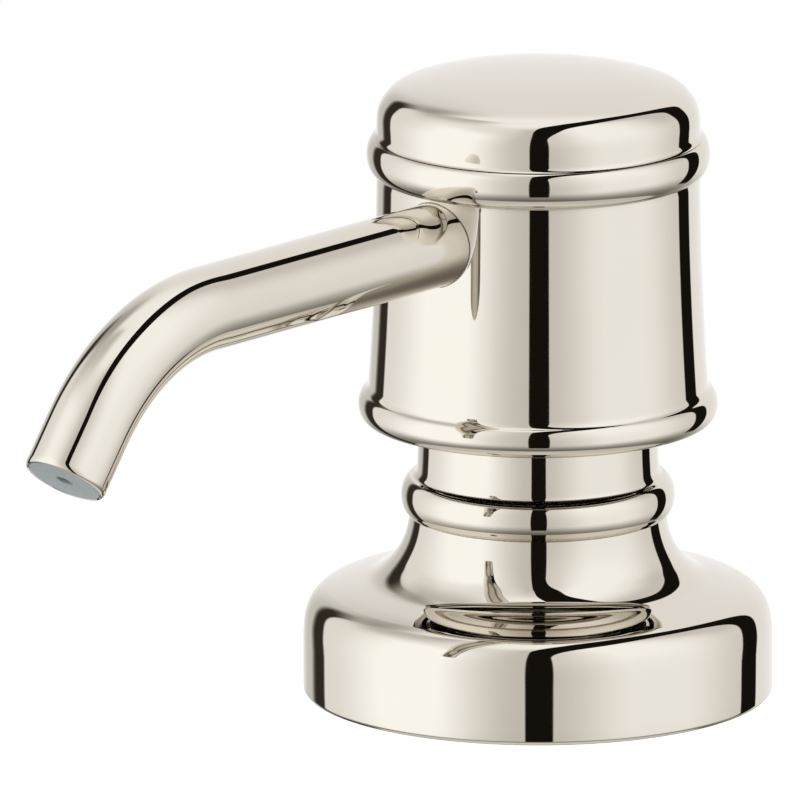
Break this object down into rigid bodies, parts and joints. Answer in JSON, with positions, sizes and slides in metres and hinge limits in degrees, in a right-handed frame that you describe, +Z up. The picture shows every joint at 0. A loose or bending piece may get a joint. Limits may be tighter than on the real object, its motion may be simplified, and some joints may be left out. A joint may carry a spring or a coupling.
{
  "type": "deck-mounted soap pump dispenser",
  "caption": "Deck-mounted soap pump dispenser: round beaded head with an angled spout pumps and swivels over a flared base, clamped through the deck by a nut, with a bottle below.",
  "frame": {"origin": "centre of the deck hole, on the deck's top surface, where the flared base's underside rests", "axes": "+Z up along the pump's axis, -Y along the spout's horizontal run, +X to the right when the spout is seen from the front"},
  "size_m": [0.066, 0.1206, 0.2635],
  "materials": {
    "polished_nickel": "polished nickel plate on brass, slightly warm",
    "brass_thread": "turned brass, satin",
    "stainless": "stainless steel, turned and drawn",
    "black_rubber": "matt moulded rubber",
    "black_nylon": "moulded nylon, fine grain",
    "white_plastic": "moulded acetal, satin",
    "grey_plastic": "moulded grey plastic, satin",
    "natural_polyethylene": "milky natural polyethylene"
  },
  "bodies": {
    "deck_body": {"escutcheon_base": "polished_nickel", "base_gasket": "black_rubber", "neck_collar": "polished_nickel", "threaded_shank": "brass_thread"},
    "clamp_washers": {"mounting_washer": "black_rubber", "backing_washer": "stainless"},
    "clamp_nut": {"mounting_nut": "black_nylon"},
    "bottle_seal": {"bottle_gasket": "black_rubber"},
    "bottle": {"bottle": "natural_polyethylene"},
    "pump_insert": {"pump_cylinder": "white_plastic", "pump_closure": "white_plastic", "closure_gasket": "black_rubber", "stem_bushing": "grey_plastic", "ball_cage": "white_plastic", "dip_tube": "natural_polyethylene", "return_spring": "stainless"},
    "inlet_valve": {"inlet_ball": "stainless"},
    "plunger": {"piston_stem": "white_plastic", "piston_seal": "black_rubber"},
    "outlet_valve": {"outlet_ball": "stainless"},
    "head": {"head_barrel": "polished_nickel", "head_cap": "polished_nickel", "head_core": "white_plastic", "core_screw_1": "stainless", "core_screw_2": "stainless", "core_screw_3": "stainless", "spout_tube": "polished_nickel", "spout_seal": "black_rubber", "spout_liner": "natural_polyethylene", "nozzle_insert": "grey_plastic"}
  },
  "joints": [
    {"name": "pump_lift", "type": "slide", "parent": "deck_body", "child": "pump_insert", "axis": [0, 0, 1], "range_m": [0, 0.22]},
    {"name": "head_press", "type": "slide", "parent": "pump_insert", "child": "plunger", "axis": [0, 0, -1], "range_m": [0, 0.013], "stiffness_N_per_m": 400, "springref_m": -0.02, "deforming": ["return_spring"]},
    {"name": "head_swivel", "type": "hinge", "parent": "plunger", "child": "head", "pos_m": [0, 0, 0.052], "axis": [0, 0, 1], "continuous": true},
    {"name": "inlet_ball_lift", "type": "slide", "parent": "pump_insert", "child": "inlet_valve", "axis": [0, 0, 1], "range_m": [0, 0.0022]},
    {"name": "outlet_ball_lift", "type": "slide", "parent": "plunger", "child": "outlet_valve", "axis": [0, 0, 1], "range_m": [0, 0.0025]},
    {"name": "nut_turn", "type": "hinge", "parent": "clamp_washers", "child": "clamp_nut", "pos_m": [0, 0, -0.031], "axis": [0, 0, -1], "range_deg": [0, 1080]},
    {"name": "clamp_travel", "type": "slide", "parent": "deck_body", "child": "clamp_washers", "axis": [0, 0, -1], "range_m": [0, 0.006]},
    {"name": "bottle_turn", "type": "hinge", "parent": "bottle_seal", "child": "bottle", "pos_m": [0, 0, -0.1], "axis": [0, 0, -1], "range_deg": [0, 3240]},
    {"name": "bottle_travel", "type": "slide", "parent": "deck_body", "child": "bottle_seal", "axis": [0, 0, -1], "range_m": [0, 0.018]}
  ],
  "couplings": [
    {"joint": "nut_turn", "follows": "clamp_travel", "rad_per_m": 3141.6},
    {"joint": "bottle_turn", "follows": "bottle_travel", "rad_per_m": 3141.6}
  ]
}
